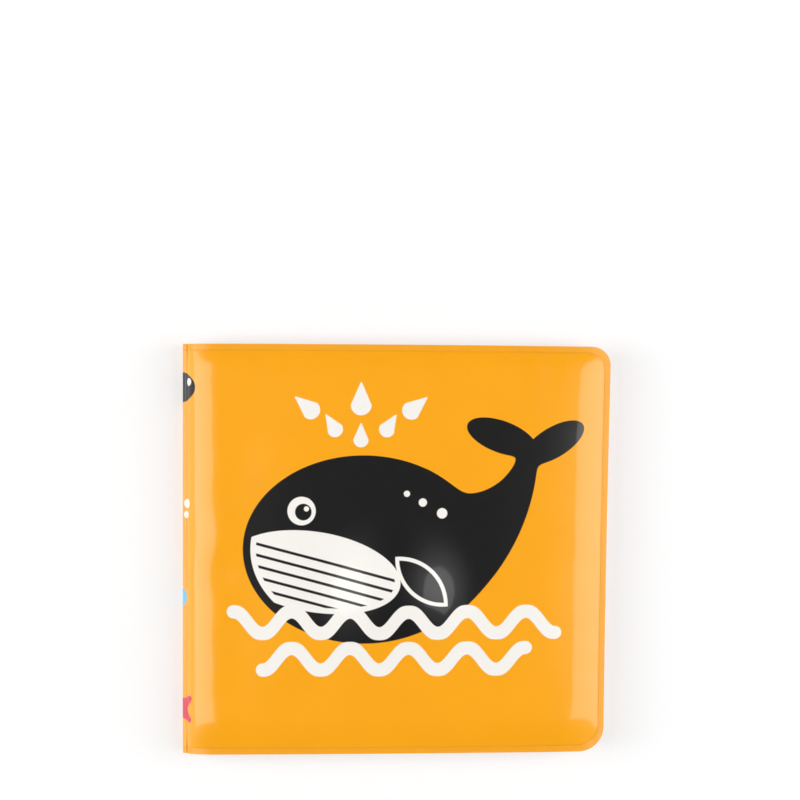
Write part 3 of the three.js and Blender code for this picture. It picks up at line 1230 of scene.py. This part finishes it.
for index, name in enumerate(foamNames):
    pad = foamPad(name, index)
    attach(pad, bodies[index])
    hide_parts(bodies[index] + "_foam_pad")
print("foam made")


# Spine bead: a rod with the shallow teeth that the welding bar leaves

bead = {
    "sides": 32,
    "toothPitch": 1.6,
    "toothDepth": 0.06,
    "toothRows": 5,
    "endRound": 0.45,
    "endSteps": 4,
    "endSlack": 0.001,
    "smoothDegrees": 40,
}


def spineBead():
    deselectAll()
    place = (book["hingeX"] * mm, 0, book["hingeZ"] * mm)
    bpy.ops.mesh.primitive_cylinder_add(
        vertices=bead["sides"], radius=book["beadRadius"] * mm, depth=book["height"] * mm,
        location=place, rotation=(math.pi / 2, 0, 0),
    )
    piece = bpy.context.object
    piece.name = "spineBead"
    bpy.ops.object.transform_apply(location=True, rotation=True, scale=True)
    selectEdges(piece, lambda ends: abs(ends[0].y - ends[1].y) > halfSide * mm)
    cuts = int(book["height"] / bead["toothPitch"] * bead["toothRows"])
    bpy.ops.mesh.subdivide_edgering(number_cuts=cuts)
    setMode("OBJECT")
    points = readPoints(piece)
    along = points[:, 1] / mm
    tooth = 0.5 + 0.5 * np.cos(along * 2 * math.pi / bead["toothPitch"])
    centre = np.array(place)[[0, 2]]
    points[:, [0, 2]] = centre + (points[:, [0, 2]] - centre) * (1 - bead["toothDepth"] * tooth)[:, None]
    writePoints(piece, points)
    slack = bead["endSlack"] * mm
    selectEdges(piece, lambda ends: all(abs(abs(end.y) - halfSide * mm) < slack for end in ends))
    bpy.ops.mesh.bevel(offset=bead["endRound"] * mm, segments=bead["endSteps"])
    setMode("OBJECT")
    smoothShade(piece, bead["smoothDegrees"])
    dress(piece, finishes["spineWeld"])
    return piece


beadPiece = spineBead()
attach(beadPiece, "back_cover")
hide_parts("spine_weld")
print("spine made")

squeakerFinishes = {
    "squeaker_cup": "squeakerPlastic",
    "squeaker_dome": "squeakerPlastic",
    "squeaker_reed_holder": "reedPlastic",
    "squeaker_reed_clamp": "reedPlastic",
    "squeaker_reed": "reedStrip",
}
for node, name in squeakerFinishes.items():
    dress(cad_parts[node], finishes[name])
print("squeaker finished")


# Floor, light and camera, in metres

studio = {
    "floorSize": 20,
    "floorLevel": -0.00002,
    "floorReach": (0.16, 0.5),
    "floorTones": (0.9, 0.92),
    "floorScale": 3,
    "floorGlow": 1.1,
    "glowShare": 0.5,
    "lampMiddle": 0.04,
    "boxSize": (0.6, 0.9),
    "boxPlace": (0.68, 0.75),
    "boxRadiance": 2.75,
    "panelSize": (0.5, 0.9),
    "panelPlace": (0.95, 0.38),
    "panelRadiance": 2.45,
    "skyRadiance": [(0, 1), (0.14, 0.9), (0.3, 0.5), (0.55, 0.42), (0.92, 0.14)],
    "endShade": 0.55,
    "shadeStart": 0.14,
    "shadeSteepness": 8,
    "cameraPlace": (0.001, 0.0428, 0.75),
    "frameWidth": 0.2293,
    "frameLevel": 0.0117,
    "sensorWidth": 36,
    "clipStart": 0.01,
}


def evenTone(tone):
    return (tone, tone, tone, 1)


def mixShaders(tree, share, first, second):
    return addNode(tree, "ShaderNodeMixShader", None, {0: share, 1: first, 2: second})


def studioFloor():
    deselectAll()
    bpy.ops.mesh.primitive_plane_add(size=studio["floorSize"], location=(0, 0, studio["floorLevel"]))
    floor = bpy.context.object
    floor.name = "floor"
    material, tree = newMaterial("paleFloor")
    place = addNode(tree, "ShaderNodeTexCoord", output=3)
    away = addNode(tree, "ShaderNodeVectorMath", {"operation": "LENGTH"}, {0: place}, 1)
    near, far = studio["floorReach"]
    smooth = {"interpolation_type": "SMOOTHSTEP"}
    fade = addNode(tree, "ShaderNodeMapRange", smooth, {0: away, 1: near, 2: far})
    tint = mixColours(noise(tree, place, studio["floorScale"]), *map(evenTone, studio["floorTones"]))
    white = addNode(tree, "ShaderNodeBsdfDiffuse", None, {"Color": tint})
    # the floor glows a little, so that the shadow on it stays as faint as in the photograph
    glow, plain = [
        addNode(tree, "ShaderNodeEmission", None, {"Color": evenTone(1), "Strength": strength})
        for strength in (studio["floorGlow"], 1)
    ]
    shown = mixShaders(tree, fade, mixShaders(tree, studio["glowShare"], white, glow), plain)
    rays = addNode(tree, "ShaderNodeLightPath").socket.node.outputs
    seen = Wire(tree, rays["Is Camera Ray"]).most(Wire(tree, rays["Is Glossy Ray"]))
    seen = seen.most(Wire(tree, rays["Is Transmission Ray"]))
    mixed = mixShaders(tree, seen, white, shown)
    addNode(tree, "ShaderNodeOutputMaterial", None, {"Surface": mixed})
    dress(floor, material)
    floor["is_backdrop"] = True


def softBox(name, place, size, radiance):
    deselectAll()
    bpy.ops.object.light_add(type="AREA", location=place)
    lamp = bpy.context.object
    lamp.name = name
    lamp.data.shape = "RECTANGLE"
    lamp.data.size, lamp.data.size_y = size
    lamp.data.energy = radiance * math.pi * size[0] * size[1]
    aim = Vector((0, place[1], 0)) - Vector(place)
    lamp.rotation_euler = aim.to_track_quat("-Z", "Y").to_euler()
    return lamp


def lamps():
    for name, side in (("left", -1), ("right", 1)):
        for kind, word in (("box", "SoftBox"), ("panel", "Panel")):
            reach, height = studio[kind + "Place"]
            place = (side * reach, studio["lampMiddle"], height)
            lamp = softBox(name + word, place, studio[kind + "Size"], studio[kind + "Radiance"])
            lamp.visible_glossy = kind == "box"


def sky():
    # bright at the horizon, darker overhead, and darker still towards the two ends of the book
    world = bpy.data.worlds.new("studio")
    bpy.context.scene.world = world
    world.use_nodes = True
    tree = world.node_tree
    tree.nodes.clear()
    east, _, height = splitVector(tree, addNode(tree, "ShaderNodeTexCoord"))
    stops = [(place, evenTone(value)) for place, value in studio["skyRadiance"]]
    darker = addNode(tree, "ShaderNodeValToRGB", {"stops": stops}, {0: height})
    high = ((height - studio["shadeStart"]) * studio["shadeSteepness"]).within()
    shade = 1 - high * (1 - east * east) * (1 - studio["endShade"])
    shown = addNode(tree, "ShaderNodeBackground", None, {"Color": darker, "Strength": shade})
    addNode(tree, "ShaderNodeOutputWorld", None, {"Surface": shown})


def mainCamera():
    camera = bpy.data.objects.new("camera", bpy.data.cameras.new("camera"))
    bpy.context.scene.collection.objects.link(camera)
    camera.location = studio["cameraPlace"]
    distance = studio["cameraPlace"][2] - studio["frameLevel"]
    camera.data.sensor_width = studio["sensorWidth"]
    camera.data.lens = studio["sensorWidth"] * distance / studio["frameWidth"]
    camera.data.clip_start = studio["clipStart"]
    bpy.context.scene.camera = camera


studioFloor()
lamps()
sky()
mainCamera()
bpy.context.scene.view_settings.view_transform = "Standard"
print("studio made")

low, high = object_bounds()
